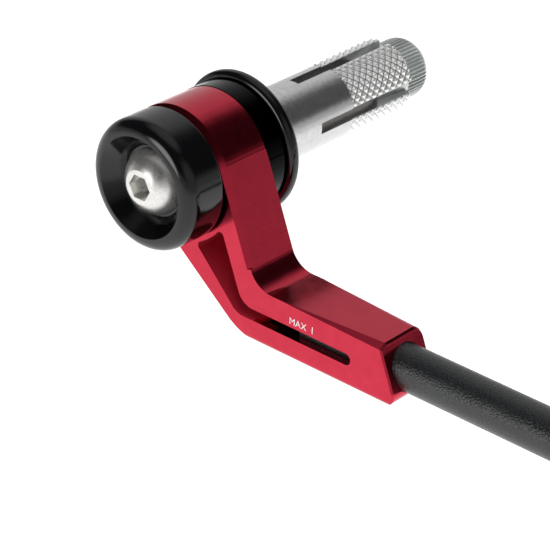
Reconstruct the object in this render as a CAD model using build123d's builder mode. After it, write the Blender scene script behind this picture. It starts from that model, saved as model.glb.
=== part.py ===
# Brake lever guard for the end of a motorbike handlebar.
# A long bolt draws a cone into a split sleeve inside the bar, and clamps a cap, an arm and a collar
# outside it. The arm carries a round rod that runs forward and then in front of the brake lever.
#
# +Y is the bar's axis, pointing inboard. The rod leaves the arm along +X, and +Z is up.
# The origin is the centre of the collar's face that seats on the end of the bar.

import os
from math import cos, radians, sin, tan

from build123d import *

# Fits
running_clearance = 0.05
rod_clearance = 0.1
screw_tip_clearance = 0.1

# Clamp bolt, M8 button head
bolt_diameter = 8.0
bolt_hole_diameter = 8.6
head_diameter = 14.0
head_height = 4.2
head_edge_height = 0.6
head_flat_diameter = 7.4
head_dome_radius = 7.6
socket_across_flats = 5.0
socket_depth = 2.8
bolt_tip_chamfer = 0.8

# Bar-end cap
cap_diameter = 28.0
cap_length = 9.6
cap_lip_radius = 3.0
cap_back_radius = 0.4
dish_diameter = 21.6
dish_floor_diameter = 15.0
dish_depth = 4.4
cap_boss_diameter = 20.0
cap_boss_height = 0.8

# Collar
flange_diameter = 30.8
flange_thickness = 2.9
flange_edge_radius = 1.3
groove_diameter = 26.6
groove_width = 0.5
disc_diameter = 28.2
disc_thickness = 4.8
disc_edge_chamfer = 0.25
spigot_diameter = 18.0
spigot_relief = 0.1
register_diameter = 13.0
register_depth = 2.0

# Expander sleeve
sleeve_diameter = 16.3
sleeve_bore_diameter = 9.4
sleeve_length = 44.0
register_chamfer = 0.3
shoulder_chamfer = 0.2
plain_length = 24.7
knurl_depth = 0.3
finger_splay = 0.3
finger_end_radius = 0.6
slot_start = 14.6
slot_width = 2.5

# Expander cone
cone_diameter = 13.6
cone_small_diameter = 10.6
cone_entry = 8.0
cone_taper_length = 8.6
cone_length = 16.3
cone_end_diameter = 11.0
cone_end_length = 2.6
cone_end_rounding = 3.4
serration_count = 51
serration_size = 0.5

# Guard arm
arm_thickness = 12.5
ring_diameter = 28.0
upper_arm_angle = 21.6
left_edge_angle = 51.4
left_edge_offset = 12.6
lower_arm_height = 12.5
rod_drop = 24.5
arm_reach = 56.8
inner_bend_radius = 6.0
outer_bend_radius = 14.0
end_corner_radius = 2.4
neck_radius = 4.0
front_edge_chamfer = 1.0
back_edge_chamfer = 0.2
outer_edge_chamfer = 0.35
bottom_front_radius = 1.4
bottom_back_radius = 5.0

# Tapered chamfer and rounding along the top of the lower arm, both widening from the bend to the end
top_chamfer_start = 27.0
top_chamfer_height = 0.7
top_chamfer_width = 1.9
top_rounding_start = 29.8
top_rounding_start_radius = 0.1
top_rounding_end_radius = 2.8

# Pocket and window slot in the arm's front face
pocket_depth = 9.0
pocket_top_radius = 15.0
pocket_right_wall = 5.2
pocket_left_angle = 45.9
pocket_left_wall = 5.3
pocket_corner_radius = 1.0
pocket_bend_radius = 4.0
window_width = 2.6
window_end = 47.2

# Guard rod and its bore in the arm
rod_diameter = 9.3
rod_end = 32.0
rod_bore_end = 24.0
rod_bend_start = 98.0
rod_bend_radius = 26.0
rod_inboard_run = 94.0
rod_end_chamfer = 0.6
rod_tip_radius = 4.0
rod_flat_depth = 1.3
rod_flat_overrun = 2.8

# Set screws under the lower arm
set_screw_diameter = 4.0
set_screw_insets = (16.2, 7.2)
set_screw_recess = 0.2
set_screw_socket_across_flats = 2.0
set_screw_socket_depth = 1.4
set_screw_point_chamfer = 0.5

# Places along the bar's axis, from the seat outboard
flange_front = -flange_thickness
disc_back = flange_front - groove_width
collar_front = disc_back - disc_thickness
arm_front = collar_front - arm_thickness
cap_back = arm_front - cap_boss_height
cap_front = cap_back - cap_length
head_seat = cap_front + dish_depth
head_top = head_seat - head_height
spigot_end = arm_front + spigot_relief

# Places along the bar's axis, from the seat inboard
cone_start = sleeve_length - cone_entry
cone_taper_end = cone_start + cone_taper_length
cone_end = cone_start + cone_length

# Radii that several pieces share
bolt_radius = bolt_diameter / 2
bolt_hole_radius = bolt_hole_diameter / 2
cap_radius = cap_diameter / 2
ring_radius = ring_diameter / 2
sleeve_radius = sleeve_diameter / 2
spigot_radius = spigot_diameter / 2
rod_radius = rod_diameter / 2
rod_bore_radius = rod_radius + rod_clearance

os.makedirs("parts", exist_ok=True)

# Bar-end cap: turned, with a rounded lip, a conical dish for the bolt's head and a low boss behind
dish_radius = dish_diameter / 2
dish_floor_radius = dish_floor_diameter / 2
cap_boss_radius = cap_boss_diameter / 2

with BuildPart() as bar_end_cap:
    with BuildSketch() as cap_profile:
        with BuildLine():
            Polyline(
                (cap_radius - cap_lip_radius, cap_front),
                (dish_radius, cap_front),
                (dish_floor_radius, head_seat),
                (bolt_hole_radius, head_seat),
                (bolt_hole_radius, arm_front),
                (cap_boss_radius, arm_front),
                (cap_boss_radius, cap_back),
                (cap_radius - cap_back_radius, cap_back),
            )
            RadiusArc(
                (cap_radius - cap_back_radius, cap_back),
                (cap_radius, cap_back - cap_back_radius),
                cap_back_radius,
            )
            Line((cap_radius, cap_back - cap_back_radius), (cap_radius, cap_front + cap_lip_radius))
            RadiusArc(
                (cap_radius, cap_front + cap_lip_radius),
                (cap_radius - cap_lip_radius, cap_front),
                cap_lip_radius,
            )
        make_face()
    revolve(axis=Axis.Y)

bar_end_cap.part.label = "bar_end_cap"
export_step(bar_end_cap.part, "parts/bar_end_cap.step")

# Clamp bolt: domed head with a hexagon socket, and a plain shank as long as the thread reaches
head_radius = head_diameter / 2
head_flat_radius = head_flat_diameter / 2

with BuildPart() as clamp_bolt:
    with BuildSketch() as bolt_profile:
        with BuildLine():
            Polyline(
                (head_flat_radius, head_top),
                (0, head_top),
                (0, cone_end),
                (bolt_radius - bolt_tip_chamfer, cone_end),
                (bolt_radius, cone_end - bolt_tip_chamfer),
                (bolt_radius, head_seat),
                (head_radius, head_seat),
                (head_radius, head_seat - head_edge_height),
            )
            RadiusArc(
                (head_radius, head_seat - head_edge_height),
                (head_flat_radius, head_top),
                head_dome_radius,
            )
        make_face()
    revolve(axis=Axis.Y)
    with BuildSketch(Plane.XZ.offset(-head_top)):
        RegularPolygon(socket_across_flats / 2, 6, major_radius=False)
    extrude(amount=-socket_depth, mode=Mode.SUBTRACT)

clamp_bolt.part.label = "clamp_bolt"
export_step(clamp_bolt.part, "parts/clamp_bolt.step")

# Collar: flange that seats on the bar, groove, disc behind the arm, and the spigot the arm turns on
flange_radius = flange_diameter / 2
disc_radius = disc_diameter / 2
groove_radius = groove_diameter / 2
register_radius = register_diameter / 2
register_hole_radius = register_radius + running_clearance
shoulder_seat_radius = sleeve_radius + running_clearance

with BuildPart() as collar:
    with BuildSketch() as collar_profile:
        with BuildLine():
            Polyline(
                (flange_radius - flange_edge_radius, 0),
                (shoulder_seat_radius, 0),
                (shoulder_seat_radius, -shoulder_chamfer),
                (register_hole_radius, -shoulder_chamfer),
                (register_hole_radius, -register_depth),
                (bolt_hole_radius, -register_depth),
                (bolt_hole_radius, spigot_end),
                (spigot_radius, spigot_end),
                (spigot_radius, collar_front),
                (disc_radius, collar_front),
                (disc_radius, disc_back - disc_edge_chamfer),
                (disc_radius - disc_edge_chamfer, disc_back),
                (groove_radius, disc_back),
                (groove_radius, flange_front),
                (flange_radius - flange_edge_radius, flange_front),
            )
            RadiusArc(
                (flange_radius - flange_edge_radius, flange_front),
                (flange_radius, flange_front + flange_edge_radius),
                -flange_edge_radius,
            )
            Line((flange_radius, flange_front + flange_edge_radius), (flange_radius, -flange_edge_radius))
            RadiusArc(
                (flange_radius, -flange_edge_radius),
                (flange_radius - flange_edge_radius, 0),
                -flange_edge_radius,
            )
        make_face()
    revolve(axis=Axis.Y)

collar.part.label = "collar"
export_step(collar.part, "parts/collar.step")

# Expander sleeve: tube with four fingers, turned down where they are knurled, tapered inside and
# splayed a little by the cone
sleeve_bore_radius = sleeve_bore_diameter / 2
cone_radius = cone_diameter / 2
cone_small_radius = cone_small_diameter / 2
knurl_root_radius = sleeve_radius - knurl_depth
finger_tip_radius = knurl_root_radius + finger_splay
cone_slope = (cone_radius - cone_small_radius) / (cone_taper_end - cone_start)
taper_end_radius = cone_small_radius + cone_slope * (sleeve_length - cone_start) + running_clearance
taper_start = sleeve_length - (taper_end_radius - sleeve_bore_radius) / cone_slope
slot_reach = 2 * sleeve_diameter

with BuildPart() as expander_sleeve:
    with BuildSketch() as sleeve_profile:
        with BuildLine():
            Polyline(
                (finger_tip_radius - finger_end_radius, sleeve_length),
                (taper_end_radius, sleeve_length),
                (sleeve_bore_radius, taper_start),
                (sleeve_bore_radius, -register_depth),
                (register_radius - register_chamfer, -register_depth),
                (register_radius, -register_depth + register_chamfer),
                (register_radius, -shoulder_chamfer),
                (sleeve_radius - shoulder_chamfer, -shoulder_chamfer),
                (sleeve_radius, 0),
                (sleeve_radius, plain_length),
                (knurl_root_radius, plain_length),
                (finger_tip_radius, sleeve_length - finger_end_radius),
            )
            RadiusArc(
                (finger_tip_radius, sleeve_length - finger_end_radius),
                (finger_tip_radius - finger_end_radius, sleeve_length),
                -finger_end_radius,
            )
        make_face()
    revolve(axis=Axis.Y)
    with BuildSketch(Plane.XZ.offset(-slot_start)):
        Rectangle(slot_reach, slot_width)
        Rectangle(slot_width, slot_reach)
    extrude(amount=-sleeve_length, mode=Mode.SUBTRACT)

expander_sleeve.part.label = "expander_sleeve"
export_step(expander_sleeve.part, "parts/expander_sleeve.step")

# Expander cone: taper inside the fingers, serrated barrel with a rounded end, tapped for the bolt
cone_end_radius = cone_end_diameter / 2
cone_thread_radius = bolt_radius + running_clearance
cone_shoulder = cone_end - cone_end_length

with BuildPart() as expander_cone:
    with BuildSketch() as cone_profile:
        with BuildLine():
            Polyline(
                (cone_end_radius, cone_end),
                (cone_thread_radius, cone_end),
                (cone_thread_radius, cone_start),
                (cone_small_radius, cone_start),
                (cone_radius, cone_taper_end),
                (cone_radius, cone_shoulder),
            )
            RadiusArc((cone_radius, cone_shoulder), (cone_end_radius, cone_end), -cone_end_rounding)
        make_face()
    revolve(axis=Axis.Y)
    with BuildSketch(Plane.XZ.offset(-cone_taper_end)):
        with PolarLocations(cone_radius, serration_count):
            Rectangle(serration_size, serration_size, rotation=45)
    extrude(amount=-(cone_end - cone_taper_end), mode=Mode.SUBTRACT)

expander_cone.part.label = "expander_cone"
export_step(expander_cone.part, "parts/expander_cone.step")

# Guard arm: corners of its outline in the plane across the bar
lower_top = -rod_drop + lower_arm_height / 2
lower_bottom = -rod_drop - lower_arm_height / 2
rod_axis_y = collar_front - arm_thickness / 2
set_screw_places = [(arm_reach - inset, rod_axis_y) for inset in set_screw_insets]

edge_normal = (cos(radians(upper_arm_angle)), sin(radians(upper_arm_angle)))
left_normal = (-cos(radians(left_edge_angle)), -sin(radians(left_edge_angle)))
end_offset = edge_normal[0] * arm_reach - edge_normal[1] * rod_drop


def on_right_line(offset, height):
    """Point at a height on a line parallel to the upper arm's right edge."""
    return ((offset - edge_normal[1] * height) / edge_normal[0], height)


def on_left_line(offset, height):
    """Point at a height on a line parallel to the upper arm's left edge."""
    return ((offset - left_normal[1] * height) / left_normal[0], height)


right_tangent = (ring_radius * edge_normal[0], ring_radius * edge_normal[1])
inner_corner = on_right_line(ring_radius, lower_top)
outer_corner = on_left_line(left_edge_offset, lower_bottom)
left_foot = (left_edge_offset * left_normal[0], left_edge_offset * left_normal[1])
end_top = on_right_line(end_offset, lower_top)
end_bottom = on_right_line(end_offset, lower_bottom)
neck_reach = (ring_radius**2 - left_edge_offset**2) ** 0.5
neck_corner = (
    left_edge_offset * left_normal[0] - neck_reach * left_normal[1],
    left_edge_offset * left_normal[1] + neck_reach * left_normal[0],
)

# Pocket outline: top edge round the bar's axis, right edge along the arm's, left edge closing in
window_top = -rod_drop + window_width / 2
window_bottom = -rod_drop - window_width / 2
pocket_right = ring_radius - pocket_right_wall
pocket_right_reach = (pocket_top_radius**2 - pocket_right**2) ** 0.5
pocket_top_right = (
    pocket_right * edge_normal[0] + pocket_right_reach * edge_normal[1],
    pocket_right * edge_normal[1] - pocket_right_reach * edge_normal[0],
)
pocket_left = left_edge_offset - pocket_left_wall
pocket_left_reach = (pocket_top_radius**2 - pocket_left**2) ** 0.5
pocket_top_left = (
    pocket_left * left_normal[0] - pocket_left_reach * left_normal[1],
    pocket_left * left_normal[1] + pocket_left_reach * left_normal[0],
)
pocket_right_bend = on_right_line(pocket_right, window_top)
pocket_left_run = (pocket_top_left[1] - window_bottom) / tan(radians(pocket_left_angle))
pocket_left_bend = (pocket_top_left[0] + pocket_left_run, window_bottom)
pocket_join = pocket_right_bend[0] + pocket_bend_radius

# Guard arm: leg and ring, then the edges, the rod's bore, the pocket, the window and the screw holes
bend_run = inner_bend_radius * tan(radians(90 - upper_arm_angle) / 2)
right_edge_length = (Vector(*inner_corner) - Vector(*right_tangent)).length - bend_run
right_edge_plane = Plane(
    origin=(right_tangent[0], arm_front, right_tangent[1]),
    x_dir=(-edge_normal[0], 0, -edge_normal[1]),
    z_dir=(edge_normal[1], 0, -edge_normal[0]),
)
pocket_top_middle = Vector(*pocket_top_left) + Vector(*pocket_top_right)
pocket_top_middle = pocket_top_middle.normalized() * pocket_top_radius
top_rounding = ((top_rounding_start, top_rounding_start_radius), (arm_reach, top_rounding_end_radius))
chamfer_tip = Vector(top_chamfer_start, arm_front, lower_top)
chamfer_low = Vector(end_top[0], arm_front, lower_top - top_chamfer_height) - chamfer_tip
chamfer_back = Vector(end_top[0], arm_front + top_chamfer_width, lower_top) - chamfer_tip
chamfer_plane = Plane(origin=chamfer_tip, x_dir=chamfer_low, z_dir=chamfer_low.cross(chamfer_back))

with BuildPart() as guard_arm:
    with BuildSketch(Plane.XZ.offset(-collar_front)) as leg_outline:
        with BuildLine():
            Polyline(
                (0, 0), right_tangent, inner_corner, end_top, end_bottom, outer_corner, left_foot,
                close=True,
            )
        make_face()
        fillet(leg_outline.vertices().sort_by_distance(inner_corner)[0], inner_bend_radius)
        fillet(leg_outline.vertices().sort_by_distance(outer_corner)[0], outer_bend_radius)
        fillet(leg_outline.vertices().sort_by_distance(end_bottom)[0], end_corner_radius)
    extrude(amount=arm_thickness)

    # Tapered rounding along the top back edge
    for place, radius in top_rounding:
        with BuildSketch(Plane.YZ.offset(place)):
            with BuildLine():
                Polyline(
                    (collar_front - radius, lower_top),
                    (collar_front, lower_top),
                    (collar_front, lower_top - radius),
                )
                RadiusArc((collar_front, lower_top - radius), (collar_front - radius, lower_top), -radius)
            make_face()
    loft(mode=Mode.SUBTRACT)

    # Tapered chamfer along the top front edge
    with BuildSketch(chamfer_plane):
        Rectangle(arm_reach, arm_thickness, align=(Align.MIN, Align.CENTER))
    extrude(amount=top_chamfer_height, mode=Mode.SUBTRACT)

    # Chamfer round the end, and on along the bottom, the bend and the left edge, front and back
    end_face = guard_arm.faces().sort_by_distance((arm_reach, rod_axis_y, -rod_drop))[0]
    chamfer(end_face.outer_wire().edges().sort_by(Axis.Z)[1:], outer_edge_chamfer)

    # Chamfer down the upper arm's right front edge, as far as the bend
    with BuildSketch(right_edge_plane):
        with BuildLine():
            Polyline((0, 0), (front_edge_chamfer, 0), (0, front_edge_chamfer), close=True)
        make_face()
    extrude(amount=right_edge_length, mode=Mode.SUBTRACT)

    # Ring round the spigot, blended into the left edge
    with BuildSketch() as ring_profile:
        with BuildLine():
            Polyline(
                (0, collar_front),
                (ring_radius - back_edge_chamfer, collar_front),
                (ring_radius, collar_front - back_edge_chamfer),
                (ring_radius, arm_front + front_edge_chamfer),
                (ring_radius - front_edge_chamfer, arm_front),
                (0, arm_front),
                close=True,
            )
        make_face()
    revolve(axis=Axis.Y)
    neck_edge = guard_arm.edges().filter_by(Axis.Y).sort_by_distance(
        (neck_corner[0], rod_axis_y, neck_corner[1])
    )[0]
    fillet(neck_edge, neck_radius)

    # Roundings along the bottom edges, straight on into the bend
    with BuildSketch(Plane.YZ):
        with BuildLine():
            Polyline(
                (arm_front, lower_bottom + bottom_front_radius),
                (arm_front, lower_bottom),
                (arm_front + bottom_front_radius, lower_bottom),
            )
            RadiusArc(
                (arm_front + bottom_front_radius, lower_bottom),
                (arm_front, lower_bottom + bottom_front_radius),
                bottom_front_radius,
            )
        make_face()
        with BuildLine():
            Polyline(
                (collar_front - bottom_back_radius, lower_bottom),
                (collar_front, lower_bottom),
                (collar_front, lower_bottom + bottom_back_radius),
            )
            RadiusArc(
                (collar_front, lower_bottom + bottom_back_radius),
                (collar_front - bottom_back_radius, lower_bottom),
                bottom_back_radius,
            )
        make_face()
    extrude(amount=2 * arm_reach, mode=Mode.SUBTRACT)

    # Spigot hole through the ring
    with BuildSketch(Plane.XZ.offset(-collar_front)):
        Circle(spigot_radius + running_clearance)
    extrude(amount=arm_thickness, mode=Mode.SUBTRACT)

    # Blind bore for the rod
    with BuildSketch(Plane.YZ.offset(rod_bore_end)):
        with Locations((rod_axis_y, -rod_drop)):
            Circle(rod_bore_radius)
    extrude(amount=arm_reach, mode=Mode.SUBTRACT)

    # Pocket under the ring, closing into the window
    with BuildSketch(Plane.XZ.offset(-arm_front)) as pocket_outline:
        with BuildLine():
            Polyline(
                pocket_top_right,
                pocket_right_bend,
                (pocket_join, window_top),
                (pocket_join, window_bottom),
                pocket_left_bend,
                pocket_top_left,
            )
            ThreePointArc(pocket_top_left, pocket_top_middle, pocket_top_right)
        make_face()
        for corner in (pocket_right_bend, pocket_left_bend):
            fillet(pocket_outline.vertices().sort_by_distance(corner)[0], pocket_bend_radius)
        for corner in (pocket_top_left, pocket_top_right):
            fillet(pocket_outline.vertices().sort_by_distance(corner)[0], pocket_corner_radius)
    extrude(amount=-pocket_depth, mode=Mode.SUBTRACT)

    # Window slot that opens into the bore
    with BuildSketch(Plane.XZ.offset(-arm_front)):
        with Locations(((pocket_join + window_end) / 2 - window_width / 2, -rod_drop)):
            SlotOverall(window_end - pocket_join + window_width, window_width)
    extrude(amount=-arm_thickness / 2, mode=Mode.SUBTRACT)

    # Tapped holes for the set screws, from below
    with BuildSketch(Plane.XY.offset(lower_bottom)):
        with Locations(set_screw_places):
            Circle(set_screw_diameter / 2 + running_clearance)
    extrude(amount=lower_arm_height / 2, mode=Mode.SUBTRACT)

guard_arm.part.label = "guard_arm"
export_step(guard_arm.part, "parts/guard_arm.step")

# Guard rod: straight out of the arm, one bend inboard, and a rounded free end in front of the lever
rod_flat = -rod_drop - rod_radius + rod_flat_depth
rod_flat_length = arm_reach + rod_flat_overrun - rod_end
rod_front = rod_bend_start + rod_bend_radius
rod_tip = rod_axis_y + rod_bend_radius + rod_inboard_run

with BuildPart() as guard_rod:
    with BuildLine() as rod_path:
        FilletPolyline(
            (rod_end, rod_axis_y, -rod_drop),
            (rod_front, rod_axis_y, -rod_drop),
            (rod_front, rod_tip, -rod_drop),
            radius=rod_bend_radius,
        )
    with BuildSketch(Plane.YZ.offset(rod_end)):
        with Locations((rod_axis_y, -rod_drop)):
            Circle(rod_radius)
    sweep(path=rod_path.line)
    chamfer(guard_rod.edges().filter_by(GeomType.CIRCLE).sort_by(Axis.X)[0], rod_end_chamfer)
    fillet(guard_rod.edges().filter_by(GeomType.CIRCLE).sort_by(Axis.Y)[-1], rod_tip_radius)
    with BuildSketch(Plane.XY.offset(rod_flat)):
        with Locations((rod_end, rod_axis_y)):
            Rectangle(rod_flat_length, rod_diameter, align=(Align.MIN, Align.CENTER))
    extrude(amount=-rod_flat_depth, mode=Mode.SUBTRACT)

guard_rod.part.label = "guard_rod"
export_step(guard_rod.part, "parts/guard_rod.step")

# Set screws: two grub screws whose points stand just under the rod's flat
screw_radius = set_screw_diameter / 2
screw_top = rod_flat - screw_tip_clearance
screw_bottom = lower_bottom + set_screw_recess

with BuildPart() as set_screws:
    with BuildSketch(Plane.XY.offset(screw_bottom)):
        with Locations(set_screw_places):
            Circle(screw_radius)
    extrude(amount=screw_top - screw_bottom)
    chamfer(set_screws.edges().group_by(Axis.Z)[-1], set_screw_point_chamfer)
    with BuildSketch(Plane.XY.offset(screw_bottom)):
        with Locations(set_screw_places):
            RegularPolygon(set_screw_socket_across_flats / 2, 6, major_radius=False)
    extrude(amount=set_screw_socket_depth, mode=Mode.SUBTRACT)

set_screws.part.label = "set_screws"
export_step(set_screws.part, "parts/set_screws.step")
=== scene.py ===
# Brake lever guard for the end of a motorbike handlebar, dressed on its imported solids.
# +Y is the bar's axis, pointing inboard, the rod leaves the arm along +X, and +Z is up.

import math
from functools import partial

import bmesh
import bpy
from mathutils import Matrix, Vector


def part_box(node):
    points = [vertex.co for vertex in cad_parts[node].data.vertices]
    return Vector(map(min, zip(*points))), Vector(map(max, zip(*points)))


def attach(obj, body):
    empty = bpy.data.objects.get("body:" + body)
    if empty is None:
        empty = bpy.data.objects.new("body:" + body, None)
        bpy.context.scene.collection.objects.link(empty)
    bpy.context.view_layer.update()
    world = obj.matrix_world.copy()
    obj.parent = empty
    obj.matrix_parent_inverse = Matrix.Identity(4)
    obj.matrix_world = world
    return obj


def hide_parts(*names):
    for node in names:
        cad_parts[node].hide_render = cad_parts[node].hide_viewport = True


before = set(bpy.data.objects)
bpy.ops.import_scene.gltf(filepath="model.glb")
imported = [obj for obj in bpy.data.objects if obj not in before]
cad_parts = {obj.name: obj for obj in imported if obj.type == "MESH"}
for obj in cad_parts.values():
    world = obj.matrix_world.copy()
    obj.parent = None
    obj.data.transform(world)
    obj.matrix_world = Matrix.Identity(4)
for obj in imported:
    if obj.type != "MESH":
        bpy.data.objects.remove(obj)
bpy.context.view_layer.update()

# Camera: it stands off the outboard end, to the right and above, and looks down on the cap and arm.
# Its place, turn and long lens were solved from the circles of the cap and sleeve and the arm's edges.
view_place = (0.301430, -0.331999, 0.219172)
view_azimuth = math.radians(41.374)
view_elevation = math.radians(29.246)
view_roll = math.radians(1.422)
view_lens = 158.59

camera_data = bpy.data.cameras.new("camera")
camera_data.sensor_width = 36.0
camera_data.lens = view_lens
camera_data.clip_start = 0.02
camera_data.clip_end = 20.0
camera = bpy.data.objects.new("camera", camera_data)
bpy.context.scene.collection.objects.link(camera)
camera.matrix_world = (
    Matrix.Translation(view_place)
    @ Matrix.Rotation(view_azimuth, 4, "Z")
    @ Matrix.Rotation(math.pi / 2 - view_elevation, 4, "X")
    @ Matrix.Rotation(view_roll, 4, "Z")
)
bpy.context.scene.camera = camera
bpy.context.scene.view_settings.view_transform = "Standard"

# Studio: a white table in a dim room with a pale horizon and soft panels, and a lamp low at the front left.
# Polished faces turned down mirror the table, tops mirror the panels, and the gaps are their dark bands.
# A panel has an azimuth, an elevation, the angles where its full light ends and its edge ends, and a level.
room_panels = {
    "back_left": (126.0, 22.0, 22.0, 46.0, 0.82),
    "right": (352.0, 6.0, 18.0, 48.0, 0.55),
    "overhead": (120.0, 84.0, 12.0, 40.0, 0.7),
    "front_left_lamp": (259.0, 6.0, 11.0, 23.0, 6.0),
}
horizon_level = 0.62
horizon_full_height = 0.04
horizon_end_height = 0.26
ceiling_level = 0.04
table_height = -0.16
table_half_width = 3.0
table_glow = 0.3
table_far_glow = 0.8
table_fade_start = 0.3
table_fade_end = 1.1
softbox_size = 1.6
softbox_power = 19.0
softbox_height = 1.1


def join(tree, source, output, target, entry):
    tree.links.new(source.outputs[output], target.inputs[entry])


def reckon(tree, operation, *terms):
    """A Math node of the tree, whose terms are numbers or sockets, and its result socket."""
    node = tree.nodes.new("ShaderNodeMath")
    node.operation = operation
    for place, term in enumerate(terms):
        if isinstance(term, (int, float)):
            node.inputs[place].default_value = term
        else:
            tree.links.new(term, node.inputs[place])
    return node.outputs["Value"]


def spread(tree, value, at_low, at_high, low=0.0, high=1.0, way="LINEAR"):
    """A Map Range node that takes a value from one level to another, and its result socket."""
    node = tree.nodes.new("ShaderNodeMapRange")
    node.interpolation_type = way
    node.inputs["From Min"].default_value = low
    node.inputs["From Max"].default_value = high
    node.inputs["To Min"].default_value = at_low
    node.inputs["To Max"].default_value = at_high
    tree.links.new(value, node.inputs["Value"])
    return node.outputs["Result"]


def along_way(tree, where, output, direction):
    """How far a vector reaches along a fixed direction, and its result socket."""
    node = tree.nodes.new("ShaderNodeVectorMath")
    node.operation = "DOT_PRODUCT"
    node.inputs[1].default_value = direction
    join(tree, where, output, node, 0)
    return node.outputs["Value"]


world = bpy.data.worlds.new("studio_room")
bpy.context.scene.world = world
world.use_nodes = True
room = world.node_tree
room.nodes.clear()
room_way = room.nodes.new("ShaderNodeTexCoord")
room_rise = along_way(room, room_way, "Generated", (0, 0, 1))
room_level = spread(
    room, room_rise, horizon_level, 0.0, horizon_full_height, horizon_end_height, "SMOOTHSTEP"
)
for azimuth, elevation, full_angle, edge_angle, level in room_panels.values():
    panel_direction = (
        math.cos(math.radians(elevation)) * math.cos(math.radians(azimuth)),
        math.cos(math.radians(elevation)) * math.sin(math.radians(azimuth)),
        math.sin(math.radians(elevation)),
    )
    panel_edge = math.cos(math.radians(edge_angle))
    panel_full = math.cos(math.radians(full_angle))
    panel_nearness = along_way(room, room_way, "Generated", panel_direction)
    panel_light = spread(room, panel_nearness, 0.0, level, panel_edge, panel_full, "SMOOTHSTEP")
    room_level = reckon(room, "MAXIMUM", room_level, panel_light)
room_level = reckon(room, "ADD", room_level, ceiling_level)
room_light = room.nodes.new("ShaderNodeBackground")
room.links.new(room_level, room_light.inputs["Strength"])
room_white = room.nodes.new("ShaderNodeBackground")
room_path = room.nodes.new("ShaderNodeLightPath")
room_mix = room.nodes.new("ShaderNodeMixShader")
join(room, room_path, "Is Camera Ray", room_mix, "Fac")
join(room, room_light, "Background", room_mix, 1)
join(room, room_white, "Background", room_mix, 2)
room_output = room.nodes.new("ShaderNodeOutputWorld")
join(room, room_mix, "Shader", room_output, "Surface")

floor_mesh = bpy.data.meshes.new("studio_floor")
floor_shape = bmesh.new()
bmesh.ops.create_grid(floor_shape, x_segments=1, y_segments=1, size=table_half_width)
floor_shape.to_mesh(floor_mesh)
floor_shape.free()
floor = bpy.data.objects.new("studio_floor", floor_mesh)
floor.location = (0, 0, table_height)
bpy.context.scene.collection.objects.link(floor)
floor_paper = bpy.data.materials.new("white_paper")
floor_paper.use_nodes = True
paper = floor_paper.node_tree
paper_base = paper.nodes["Principled BSDF"]
paper_base.inputs["Base Color"].default_value = (0.9, 0.9, 0.9, 1)
paper_base.inputs["Roughness"].default_value = 0.9
paper_base.inputs["Emission Color"].default_value = (1, 1, 1, 1)
paper_path = paper.nodes.new("ShaderNodeLightPath")
paper_camera = paper_path.outputs["Is Camera Ray"]
paper_seen = reckon(paper, "MAXIMUM", paper_camera, paper_path.outputs["Is Glossy Ray"])
paper_near = reckon(paper, "MULTIPLY", paper_seen, table_glow)
paper_where = paper.nodes.new("ShaderNodeTexCoord")
paper_far = paper.nodes.new("ShaderNodeVectorMath")
paper_far.operation = "LENGTH"
join(paper, paper_where, "Object", paper_far, 0)
paper_fade = spread(
    paper, paper_far.outputs["Value"], 0.0, table_far_glow, table_fade_start, table_fade_end, "SMOOTHSTEP"
)
paper_lift = reckon(paper, "MULTIPLY_ADD", paper_fade, paper_camera, paper_near)
paper.links.new(paper_lift, paper_base.inputs["Emission Strength"])
floor_mesh.materials.append(floor_paper)

overhead_data = bpy.data.lights.new("overhead_softbox", "AREA")
overhead_data.size = softbox_size
overhead_data.energy = softbox_power
overhead = bpy.data.objects.new("overhead_softbox", overhead_data)
overhead.location = (0, 0, softbox_height)
overhead.visible_glossy = False
bpy.context.scene.collection.objects.link(overhead)

# Expander sleeve: a bright turned aluminium tube, split into four fingers that grip the bar's bore.
# Its plain end is satin from the lathe, with fine rings round the axis and a faint bloom.
sleeve_ring_fineness = 5200.0
sleeve_ring_depth = 0.000012


def new_finish(name):
    """A material with its node tree and its shader."""
    finish = bpy.data.materials.new(name)
    finish.use_nodes = True
    return finish, finish.node_tree, finish.node_tree.nodes["Principled BSDF"]


def cloud(tree, scale, detail=2.0, roughness=0.5):
    """Noise in the piece's own coordinates, and its result socket."""
    where = tree.nodes.new("ShaderNodeTexCoord")
    noise = tree.nodes.new("ShaderNodeTexNoise")
    noise.inputs["Scale"].default_value = scale
    noise.inputs["Detail"].default_value = detail
    noise.inputs["Roughness"].default_value = roughness
    join(tree, where, "Object", noise, "Vector")
    return noise.outputs["Fac"]


def lines_on(tree, place, fineness, detail):
    """Random fine lines across a place that runs in one direction, and their result socket."""
    noise = tree.nodes.new("ShaderNodeTexNoise")
    noise.noise_dimensions = "1D"
    noise.inputs["Scale"].default_value = fineness
    noise.inputs["Detail"].default_value = detail
    tree.links.new(place, noise.inputs["W"])
    return noise.outputs["Fac"]


def place_on_bar(tree):
    """The distance from the bar's axis and the places along X, Y and Z, as sockets."""
    where = tree.nodes.new("ShaderNodeTexCoord")
    split = tree.nodes.new("ShaderNodeSeparateXYZ")
    join(tree, where, "Object", split, "Vector")
    flat = tree.nodes.new("ShaderNodeCombineXYZ")
    join(tree, split, "X", flat, "X")
    join(tree, split, "Z", flat, "Z")
    radius = tree.nodes.new("ShaderNodeVectorMath")
    radius.operation = "LENGTH"
    join(tree, flat, "Vector", radius, 0)
    return radius.outputs["Value"], split.outputs


def lathe_rings(tree, fineness):
    """Random fine rings round the bar's axis, as a lathe tool leaves them on walls and faces."""
    wall_rate = 1.7
    radius, place = place_on_bar(tree)
    tool_path = reckon(tree, "MULTIPLY_ADD", place["Y"], wall_rate, radius)
    return lines_on(tree, tool_path, fineness, detail=3.0)


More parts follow.
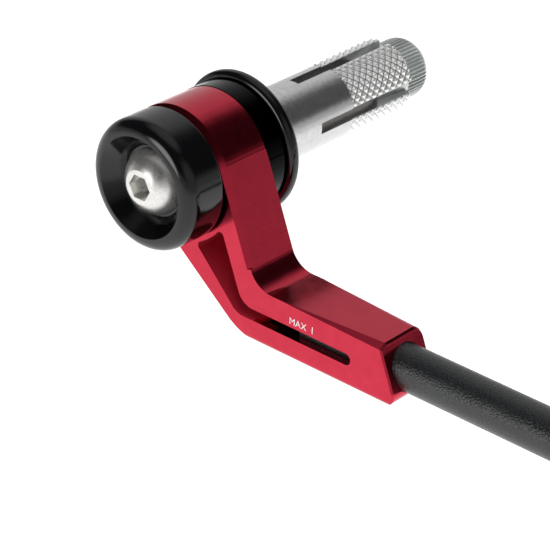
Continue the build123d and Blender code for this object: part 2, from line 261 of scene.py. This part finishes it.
def two_tones(tree, share, shader, dark, light, low=0.0, high=1.0):
    """A colour between two tones, by a share, into the shader's base colour."""
    ramp = tree.nodes.new("ShaderNodeValToRGB")
    first, last = ramp.color_ramp.elements
    first.position = low
    first.color = (*dark, 1)
    last.position = high
    last.color = (*light, 1)
    tree.links.new(share, ramp.inputs["Fac"])
    join(tree, ramp, "Color", shader, "Base Color")


def bump_into(tree, height, shader, distance):
    bump = tree.nodes.new("ShaderNodeBump")
    bump.inputs["Strength"].default_value = 1.0
    bump.inputs["Distance"].default_value = distance
    tree.links.new(height, bump.inputs["Height"])
    join(tree, bump, "Normal", shader, "Normal")


def finished(node_name, finish):
    """The CAD piece of that name, with its own material changed for this finish."""
    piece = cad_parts[node_name]
    piece.data.materials.clear()
    piece.data.materials.append(finish)
    return piece


bright_aluminium, alloy, alloy_shader = new_finish("bright_turned_aluminium")
alloy_shader.inputs["Metallic"].default_value = 0.92
alloy_bloom = cloud(alloy, scale=900.0, detail=5.0, roughness=0.7)
two_tones(
    alloy,
    alloy_bloom,
    alloy_shader,
    dark=(0.53, 0.535, 0.535),
    light=(0.67, 0.672, 0.67),
    low=0.3,
    high=0.7,
)
alloy_satin = spread(alloy, alloy_bloom, at_low=0.1, at_high=0.26)
alloy.links.new(alloy_satin, alloy_shader.inputs["Roughness"])
bump_into(alloy, lathe_rings(alloy, sleeve_ring_fineness), alloy_shader, sleeve_ring_depth)
sleeve = finished("expander_sleeve", bright_aluminium)

# Knurl on the fingers: rolled crossed grooves that leave rows of rounded diamonds.
# One grid is bent round a finger and raised by rule, then turned to the four fingers. The grooves are
# painted darker than the crests, as painted shade.
knurl_start = 0.0247
knurl_end = 0.0440
knurl_root = 0.00786
knurl_splay = 0.0003
knurl_height = 0.00044
knurl_round = 26
knurl_axial_pitch = 0.00205
knurl_run_in = 0.0009
knurl_tuck = 0.0001
knurl_side = 0.499
knurl_columns = 84
knurl_rows = 150
finger_count = 4
finger_slot = 0.0025
finger_end_radius = 0.0006
groove_rounding = 0.15
crest_steepness = 1.3
crest_rounding = 0.3
crest_blotches = 0.3


def sized_tree(name, sizes):
    """A geometry tree with a named input for each size and for the finish, and those inputs' identifiers."""
    tree = bpy.data.node_groups.new(name, "GeometryNodeTree")
    entries = {}
    for size_name, size in sizes.items():
        socket = tree.interface.new_socket(size_name, in_out="INPUT", socket_type="NodeSocketFloat")
        entries[socket.identifier] = size
    finish = tree.interface.new_socket("Finish", in_out="INPUT", socket_type="NodeSocketMaterial")
    tree.interface.new_socket("Geometry", in_out="OUTPUT", socket_type="NodeSocketGeometry")
    return tree, tree.nodes.new("NodeGroupInput"), entries, finish.identifier


def unit_grid(tree, columns, rows):
    """A square grid, a point's place across it from its middle, and its share of the way along it."""
    grid = tree.nodes.new("GeometryNodeMeshGrid")
    grid.inputs["Size X"].default_value = 1.0
    grid.inputs["Size Y"].default_value = 1.0
    grid.inputs["Vertices X"].default_value = columns
    grid.inputs["Vertices Y"].default_value = rows
    place = tree.nodes.new("GeometryNodeInputPosition")
    split = tree.nodes.new("ShaderNodeSeparateXYZ")
    join(tree, place, "Position", split, "Vector")
    return grid, split.outputs["X"], reckon(tree, "ADD", split.outputs["Y"], 0.5)


def bent_round_bar(tree, shape, radius, angle, along):
    """A Set Position node that puts a shape's points at a radius and an angle round the bar's axis."""
    point = tree.nodes.new("ShaderNodeCombineXYZ")
    tree.links.new(reckon(tree, "MULTIPLY", radius, reckon(tree, "COSINE", angle)), point.inputs["X"])
    tree.links.new(along, point.inputs["Y"])
    tree.links.new(reckon(tree, "MULTIPLY", radius, reckon(tree, "SINE", angle)), point.inputs["Z"])
    skin = tree.nodes.new("GeometryNodeSetPosition")
    tree.links.new(shape, skin.inputs["Geometry"])
    join(tree, point, "Vector", skin, "Position")
    return skin


def end_tree(tree, shape, group_input):
    """The end of a geometry tree: real meshes, in the finish that the tree was given."""
    real = tree.nodes.new("GeometryNodeRealizeInstances")
    tree.links.new(shape, real.inputs["Geometry"])
    coat = tree.nodes.new("GeometryNodeSetMaterial")
    join(tree, real, "Geometry", coat, "Geometry")
    join(tree, group_input, "Finish", coat, "Material")
    join(tree, coat, "Geometry", tree.nodes.new("NodeGroupOutput"), "Geometry")


def grown_by_nodes(name, tree, entries, finish_entry, finish):
    """A plain mesh object made by a geometry tree from its sizes and finish."""
    seed = bpy.data.objects.new(name + "_seed", bpy.data.meshes.new(name + "_seed"))
    bpy.context.scene.collection.objects.link(seed)
    grower = seed.modifiers.new("grower", "NODES")
    grower.node_group = tree
    for identifier, size in entries.items():
        grower[identifier] = size
    grower[finish_entry] = finish
    seen = seed.evaluated_get(bpy.context.evaluated_depsgraph_get())
    mesh = bpy.data.meshes.new_from_object(seen)
    mesh.name = name
    bpy.data.objects.remove(seed)
    piece = bpy.data.objects.new(name, mesh)
    bpy.context.scene.collection.objects.link(piece)
    return piece


knurl_tree, knurl_in, knurl_entries, knurl_finish = sized_tree(
    "diamond_knurl",
    {
        "Start": knurl_start,
        "End": knurl_end,
        "Root Radius": knurl_root,
        "Splay": knurl_splay,
        "Height": knurl_height,
        "Diamonds Round": knurl_round,
        "Axial Pitch": knurl_axial_pitch,
        "Run In": knurl_run_in,
        "Slot Width": finger_slot,
        "End Rounding": finger_end_radius,
    },
)
roll = partial(reckon, knurl_tree)
knurl_size = knurl_in.outputs
grid, across, along_share = unit_grid(knurl_tree, knurl_columns, knurl_rows)
finger_length = roll("SUBTRACT", knurl_size["End"], knurl_size["Start"])
along_bar = roll("MULTIPLY_ADD", along_share, finger_length, knurl_size["Start"])

# A finger lies between two slots, and its middle is halfway between them
half_slot = roll("MULTIPLY", knurl_size["Slot Width"], 0.5)
slot_angle = roll("ARCSINE", roll("DIVIDE", half_slot, knurl_size["Root Radius"]))
finger_angle = roll("SUBTRACT", 2 * math.pi / finger_count, roll("MULTIPLY", slot_angle, 2.0))
angle = roll("SUBTRACT", math.pi / finger_count, roll("MULTIPLY", across, finger_angle))

# Two sets of ridges cross, and a diamond rises where both are high
turns = roll("MULTIPLY", roll("DIVIDE", angle, 2 * math.pi), knurl_size["Diamonds Round"])
steps = roll("DIVIDE", along_bar, knurl_size["Axial Pitch"])
ridges = []
for lean in ("ADD", "SUBTRACT"):
    ridge = roll("PINGPONG", roll(lean, turns, steps), 0.5)
    ridges.append(roll("MULTIPLY", ridge, 2.0))
crest = roll("SMOOTH_MIN", ridges[0], ridges[1], groove_rounding)
crest = roll("SMOOTH_MIN", roll("MULTIPLY", crest, crest_steepness), 1.0, crest_rounding)
from_start = roll("SUBTRACT", along_bar, knurl_size["Start"])
rolled_in = roll("MINIMUM", roll("DIVIDE", from_start, knurl_size["Run In"]), 1.0)
crest = roll("MULTIPLY", crest, rolled_in)
rise = roll("MULTIPLY", crest, knurl_size["Height"])

# The skin follows the finger's rounded end, and its two sides tuck under into the finger
rounding_start = roll("SUBTRACT", knurl_size["End"], knurl_size["End Rounding"])
end_depth = roll("MAXIMUM", roll("SUBTRACT", along_bar, rounding_start), 0.0)
rounding_square = roll("POWER", knurl_size["End Rounding"], 2.0)
end_square = roll("SUBTRACT", rounding_square, roll("POWER", end_depth, 2.0))
end_height = roll("SQRT", roll("MAXIMUM", end_square, 0.0))
end_drop = roll("SUBTRACT", knurl_size["End Rounding"], end_height)
on_side = roll("GREATER_THAN", roll("ABSOLUTE", across), knurl_side)
side_drop = roll("MULTIPLY", on_side, roll("ADD", rise, knurl_tuck))
root_radius = roll("MULTIPLY_ADD", along_share, knurl_size["Splay"], knurl_size["Root Radius"])
crest_radius = roll("ADD", root_radius, rise)
skin_radius = roll("SUBTRACT", crest_radius, roll("ADD", end_drop, side_drop))

# The crest height is stored for the finish, which paints shade into the grooves by it.
crest_mark = knurl_tree.nodes.new("GeometryNodeStoreNamedAttribute")
crest_mark.data_type = "FLOAT"
crest_mark.domain = "POINT"
crest_mark.inputs["Name"].default_value = "crest"
join(knurl_tree, grid, "Mesh", crest_mark, "Geometry")
knurl_tree.links.new(crest, crest_mark.inputs["Value"])
skin = bent_round_bar(knurl_tree, crest_mark.outputs["Geometry"], skin_radius, angle, along_bar)
smooth_skin = knurl_tree.nodes.new("GeometryNodeSetShadeSmooth")
join(knurl_tree, skin, "Geometry", smooth_skin, "Geometry")
finger_points = knurl_tree.nodes.new("GeometryNodePoints")
finger_points.inputs["Count"].default_value = finger_count
finger_number = knurl_tree.nodes.new("GeometryNodeInputIndex")
finger_turn = knurl_tree.nodes.new("ShaderNodeCombineXYZ")
finger_place = roll("MULTIPLY", finger_number.outputs["Index"], 2 * math.pi / finger_count)
knurl_tree.links.new(finger_place, finger_turn.inputs["Y"])
fingers = knurl_tree.nodes.new("GeometryNodeInstanceOnPoints")
join(knurl_tree, finger_points, "Points", fingers, "Points")
join(knurl_tree, smooth_skin, "Geometry", fingers, "Instance")
join(knurl_tree, finger_turn, "Vector", fingers, "Rotation")
end_tree(knurl_tree, fingers.outputs["Instances"], knurl_in)

rolled_aluminium, rolled, rolled_shader = new_finish("rolled_bright_aluminium")
rolled_shader.inputs["Metallic"].default_value = 0.82
rolled_cloud = cloud(rolled, scale=1500.0, detail=4.0)
crest_for_groove_shade = rolled.nodes.new("ShaderNodeAttribute")
crest_for_groove_shade.attribute_name = "crest"
# Painted shade: the colour is darkest down in the grooves and lightest on the crests, by the crest height,
# with random blotches over it.
groove_shade_share = reckon(rolled, "MULTIPLY_ADD", rolled_cloud, crest_blotches, crest_for_groove_shade.outputs["Fac"])
two_tones(
    rolled,
    groove_shade_share,
    rolled_shader,
    dark=(0.38, 0.39, 0.38),
    light=(0.95, 0.955, 0.945),
    low=0.12,
    high=0.55,
)
rolled_satin = spread(rolled, rolled_cloud, at_low=0.16, at_high=0.32)
rolled.links.new(rolled_satin, rolled_shader.inputs["Roughness"])
bump_into(rolled, rolled_cloud, rolled_shader, distance=0.00001)
knurl = grown_by_nodes("finger_knurl", knurl_tree, knurl_entries, knurl_finish, rolled_aluminium)
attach(knurl, "plug")

# Expander cone: a zinc-grey steel nut with a taper inside the fingers and a serrated barrel.
# Its serrations are pressed, and the grey is a little blotchy.
grey_steel, plated, plated_shader = new_finish("grey_plated_steel")
plated_shader.inputs["Metallic"].default_value = 0.85
plated_cloud = cloud(plated, scale=700.0, detail=6.0)
two_tones(plated, plated_cloud, plated_shader, dark=(0.58, 0.615, 0.595), light=(0.74, 0.775, 0.755))
plated_satin = spread(plated, plated_cloud, at_low=0.3, at_high=0.5)
plated.links.new(plated_satin, plated_shader.inputs["Roughness"])
bump_into(plated, plated_cloud, plated_shader, distance=0.00002)
cone = finished("expander_cone", grey_steel)

# Collar and bar-end cap: turned aluminium, black anodised over a fine lathe finish, so glossy.
# The collar seats on the end of the bar, its disc the deepest black, and the cap closes the stack.
collar_disc_front = -0.0083
collar_disc_radius = 0.01425

black_anodise, black, black_shader = new_finish("black_anodised_turned")
black_shader.inputs["IOR"].default_value = 1.47
black_rings = lathe_rings(black, fineness=4200.0)
two_tones(black, black_rings, black_shader, dark=(0.0012, 0.0013, 0.0016), light=(0.0030, 0.0033, 0.0038))
black_haze = cloud(black, scale=260.0, detail=4.0)
black_gloss = spread(black, black_haze, at_low=0.08, at_high=0.16)
black.links.new(black_gloss, black_shader.inputs["Roughness"])
black_radius, black_place = place_on_bar(black)
behind_arm = reckon(black, "GREATER_THAN", black_place["Y"], collar_disc_front)
inside_disc = reckon(black, "LESS_THAN", black_radius, collar_disc_radius)
on_disc = reckon(black, "MULTIPLY", behind_arm, inside_disc)
black.links.new(on_disc, black_shader.inputs["Metallic"])
bump_into(black, black_rings, black_shader, distance=0.000004)
for turned_name in ("collar", "bar_end_cap"):
    turned = finished(turned_name, black_anodise)

# Guard arm: milled from aluminium bar and anodised a clear red, so it mirrors like coloured metal.
# The cutter leaves fine lines along the bar's axis on the outline's walls, and the pocket is left satin.
# A pocket limit is a direction and how far the pocket and its window reach that way.
upper_arm_slope = math.radians(21.6)
left_edge_slope = math.radians(51.4)
pocket_limits = (
    ((0, -1, 0), 0.02055),
    ((0, 1, 0), -0.0090),
    ((math.cos(upper_arm_slope), 0, math.sin(upper_arm_slope)), 0.0105),
    ((-math.cos(left_edge_slope), 0, -math.sin(left_edge_slope)), 0.0100),
    ((0, 0, -1), 0.0270),
    ((1, 0, 0), 0.0480),
)
ring_radius = 0.0146
wall_tilt = 0.3
pocket_roughening = 0.22
pocket_dulling = 0.85

red_anodise, red, red_shader = new_finish("red_anodised_milled")
red_shader.inputs["Coat Weight"].default_value = 0.14
red_shader.inputs["Coat Roughness"].default_value = 0.1
red_peel = cloud(red, scale=350.0, detail=4.0)
two_tones(
    red,
    red_peel,
    red_shader,
    dark=(0.49, 0.022, 0.048),
    light=(0.545, 0.027, 0.056),
    low=0.3,
    high=0.7,
)
red_radius, red_place = place_on_bar(red)
cutter_lines = lines_on(red, red_place["Z"], fineness=2600.0, detail=2.0)
wall_facing = red.nodes.new("ShaderNodeNewGeometry")
wall_side = reckon(red, "ABSOLUTE", along_way(red, wall_facing, "Normal", (0, 1, 0)))
on_wall = reckon(red, "LESS_THAN", wall_side, wall_tilt)
bump_into(red, reckon(red, "MULTIPLY", cutter_lines, on_wall), red_shader, distance=0.000013)
red_where = red.nodes.new("ShaderNodeTexCoord")
in_pocket = reckon(red, "GREATER_THAN", red_radius, ring_radius)
for limit_way, limit_reach in pocket_limits:
    inside = reckon(red, "LESS_THAN", along_way(red, red_where, "Object", limit_way), limit_reach)
    in_pocket = reckon(red, "MULTIPLY", in_pocket, inside)
red_gloss = spread(red, red_peel, at_low=0.11, at_high=0.22)
red_satin = reckon(red, "MULTIPLY_ADD", in_pocket, pocket_roughening, red_gloss)
red_metal = reckon(red, "MULTIPLY_ADD", in_pocket, -pocket_dulling, 1.0)
red.links.new(red_satin, red_shader.inputs["Roughness"])
red.links.new(red_metal, red_shader.inputs["Metallic"])
arm = finished("guard_arm", red_anodise)

# Setting mark: white pad print on the arm's front face, MAX and a line over the window.
# The rod's end stands against the line when the guard is at its longest.
mark_face = -0.0207
mark_lift = 0.00002
mark_bottom = -0.02245
mark_left = 0.0312
mark_letter_height = 0.00155
mark_capital_share = 0.729
mark_thinning = 0.00001
mark_line_x = 0.0373
mark_line_width = 0.00018
mark_middle = mark_face - mark_lift / 2

white_print, ink, ink_shader = new_finish("white_pad_print")
ink_shader.inputs["Roughness"].default_value = 0.55
ink_wear = cloud(ink, scale=6000.0)
two_tones(ink, ink_wear, ink_shader, dark=(0.90, 0.88, 0.88), light=(0.97, 0.965, 0.965))

letters = bpy.data.curves.new("setting_letters", "FONT")
letters.body = "MAX"
letters.size = mark_letter_height / mark_capital_share
letters.extrude = mark_lift / 2
letters.offset = -mark_thinning
letters_object = bpy.data.objects.new("setting_letters", letters)
bpy.context.scene.collection.objects.link(letters_object)
letters_seen = letters_object.evaluated_get(bpy.context.evaluated_depsgraph_get())
mark_mesh = bpy.data.meshes.new_from_object(letters_seen)
bpy.data.objects.remove(letters_object)
letters_upright = Matrix.Rotation(math.pi / 2, 4, "X")
mark_mesh.transform(Matrix.Translation((mark_left, mark_middle, mark_bottom)) @ letters_upright)
mark_shape = bmesh.new()
mark_shape.from_mesh(mark_mesh)
mark_line = bmesh.ops.create_cube(mark_shape, size=1.0)["verts"]
bmesh.ops.scale(mark_shape, vec=(mark_line_width, mark_lift, mark_letter_height), verts=mark_line)
line_middle = (mark_line_x, mark_middle, mark_bottom + mark_letter_height / 2)
bmesh.ops.translate(mark_shape, vec=line_middle, verts=mark_line)
mark_shape.to_mesh(mark_mesh)
mark_shape.free()
mark_mesh.materials.clear()
mark_mesh.materials.append(white_print)
setting_mark = bpy.data.objects.new("setting_mark", mark_mesh)
bpy.context.scene.collection.objects.link(setting_mark)
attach(setting_mark, "arm")

# Clamp bolt: a long stainless button-head screw that draws the cone into the sleeve.
# The head is cold formed and tumbled, the hexagon is broached smooth, and the thread is rolled.
bolt_head_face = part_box("clamp_bolt")[0][1]
bolt_plain_end = 0.0030
bolt_weld = 0.000001
bolt_crease = math.radians(30)
bolt_front_facing = -0.9999
socket_corner = 0.00292
socket_rim = 0.00003
socket_polish = 0.75
thread_start = 0.0010
thread_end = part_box("clamp_bolt")[1][1]
thread_root = 0.00338
thread_crest = 0.0040
thread_pitch = 0.00125
thread_tip = 0.0032
thread_weld = 0.000005
thread_columns = 41
thread_rows = 411

stainless, inox, inox_shader = new_finish("tumbled_stainless")
inox_shader.inputs["Metallic"].default_value = 0.9
inox_cloud = cloud(inox, scale=1700.0, detail=6.0, roughness=0.65)
two_tones(
    inox,
    inox_cloud,
    inox_shader,
    dark=(0.63, 0.615, 0.59),
    light=(0.86, 0.845, 0.82),
    low=0.3,
    high=0.7,
)
inox_radius, inox_place = place_on_bar(inox)
below_face = reckon(inox, "GREATER_THAN", inox_place["Y"], bolt_head_face + socket_rim)
in_socket = reckon(inox, "MULTIPLY", below_face, reckon(inox, "LESS_THAN", inox_radius, socket_corner))
inox_smooth = reckon(inox, "MULTIPLY_ADD", in_socket, -socket_polish, 1.0)
inox_satin = spread(inox, inox_cloud, at_low=0.2, at_high=0.42)
inox_rough = reckon(inox, "MULTIPLY", inox_satin, inox_smooth)
inox.links.new(inox_rough, inox_shader.inputs["Roughness"])
bump_into(inox, inox_cloud, inox_shader, distance=0.00003)

thread_tree, thread_in, thread_entries, thread_finish = sized_tree(
    "rolled_thread",
    {
        "Start": thread_start,
        "End": thread_end,
        "Root Radius": thread_root,
        "Crest Radius": thread_crest,
        "Pitch": thread_pitch,
        "Tip Radius": thread_tip,
    },
)
wind = partial(reckon, thread_tree)
thread_size = thread_in.outputs
thread_grid, thread_turn, thread_share = unit_grid(thread_tree, thread_columns, thread_rows)
thread_length = wind("SUBTRACT", thread_size["End"], thread_size["Start"])
thread_along = wind("MULTIPLY_ADD", thread_share, thread_length, thread_size["Start"])
thread_phase = wind("SUBTRACT", wind("DIVIDE", thread_along, thread_size["Pitch"]), thread_turn)
thread_wave = wind("MULTIPLY", wind("PINGPONG", thread_phase, 0.5), 2.0)
thread_depth = wind("SUBTRACT", thread_size["Crest Radius"], thread_size["Root Radius"])
thread_flank = wind("MULTIPLY_ADD", thread_wave, thread_depth, thread_size["Root Radius"])
thread_left = wind("SUBTRACT", thread_size["End"], thread_along)
thread_radius = wind("MINIMUM", thread_flank, wind("ADD", thread_size["Tip Radius"], thread_left))
thread_angle = wind("MULTIPLY", thread_turn, -2 * math.pi)
thread_skin = bent_round_bar(
    thread_tree, thread_grid.outputs["Mesh"], thread_radius, thread_angle, thread_along
)
thread_closed = thread_tree.nodes.new("GeometryNodeMergeByDistance")
thread_closed.inputs["Distance"].default_value = thread_weld
join(thread_tree, thread_skin, "Geometry", thread_closed, "Geometry")
end_tree(thread_tree, thread_closed.outputs["Geometry"], thread_in)
threaded_bolt = grown_by_nodes("threaded_bolt", thread_tree, thread_entries, thread_finish, stainless)

# The CAD bolt's head and plain shank join the thread, and both are closed where they were cut
bolt_shape = bmesh.new()
bolt_shape.from_mesh(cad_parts["clamp_bolt"].data)
bmesh.ops.remove_doubles(bolt_shape, verts=bolt_shape.verts, dist=bolt_weld)
bmesh.ops.bisect_plane(
    bolt_shape,
    geom=bolt_shape.verts[:] + bolt_shape.edges[:] + bolt_shape.faces[:],
    plane_co=(0, bolt_plain_end, 0),
    plane_no=(0, 1, 0),
    clear_outer=True,
)
bolt_shape.from_mesh(threaded_bolt.data)
open_edges = [edge for edge in bolt_shape.edges if edge.is_boundary]
bmesh.ops.holes_fill(bolt_shape, edges=open_edges, sides=0)
bolt_shape.normal_update()
for face in bolt_shape.faces:
    face.smooth = True
    face.material_index = 0
for edge in bolt_shape.edges:
    faces_front = {face.normal.y < bolt_front_facing for face in edge.link_faces}
    edge.smooth = len(faces_front) == 1 and edge.calc_face_angle(0.0) < bolt_crease
bolt_shape.to_mesh(threaded_bolt.data)
bolt_shape.free()
threaded_bolt.data.materials.clear()
threaded_bolt.data.materials.append(stainless)
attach(threaded_bolt, "plug")
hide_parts("clamp_bolt")

# Guard rod: a solid black plastic rod, extruded and then warm bent, with a fine moulded grain.
# It slides in the arm's bore and runs out in front of the brake lever.
black_plastic, plastic, plastic_shader = new_finish("grained_black_plastic")
plastic_shader.inputs["IOR"].default_value = 1.58
plastic_grain = cloud(plastic, scale=2800.0)
two_tones(
    plastic,
    plastic_grain,
    plastic_shader,
    dark=(0.002, 0.0024, 0.0028),
    light=(0.010, 0.0115, 0.0125),
)
plastic_satin = spread(plastic, plastic_grain, at_low=0.24, at_high=0.4)
plastic.links.new(plastic_satin, plastic_shader.inputs["Roughness"])
bump_into(plastic, plastic_grain, plastic_shader, distance=0.00016)
rod = finished("guard_rod", black_plastic)

# Set screws: two black steel grub screws under the lower arm that hold the rod at its setting.
# They are heat-treated and oiled, so the black is dull and a little uneven.
black_steel, oxide, oxide_shader = new_finish("black_oxide_steel")
oxide_shader.inputs["Metallic"].default_value = 1.0
oxide_cloud = cloud(oxide, scale=2400.0)
two_tones(oxide, oxide_cloud, oxide_shader, dark=(0.03, 0.03, 0.032), light=(0.085, 0.085, 0.09))
oxide_satin = spread(oxide, oxide_cloud, at_low=0.35, at_high=0.5)
oxide.links.new(oxide_satin, oxide_shader.inputs["Roughness"])
screws = finished("set_screws", black_steel)
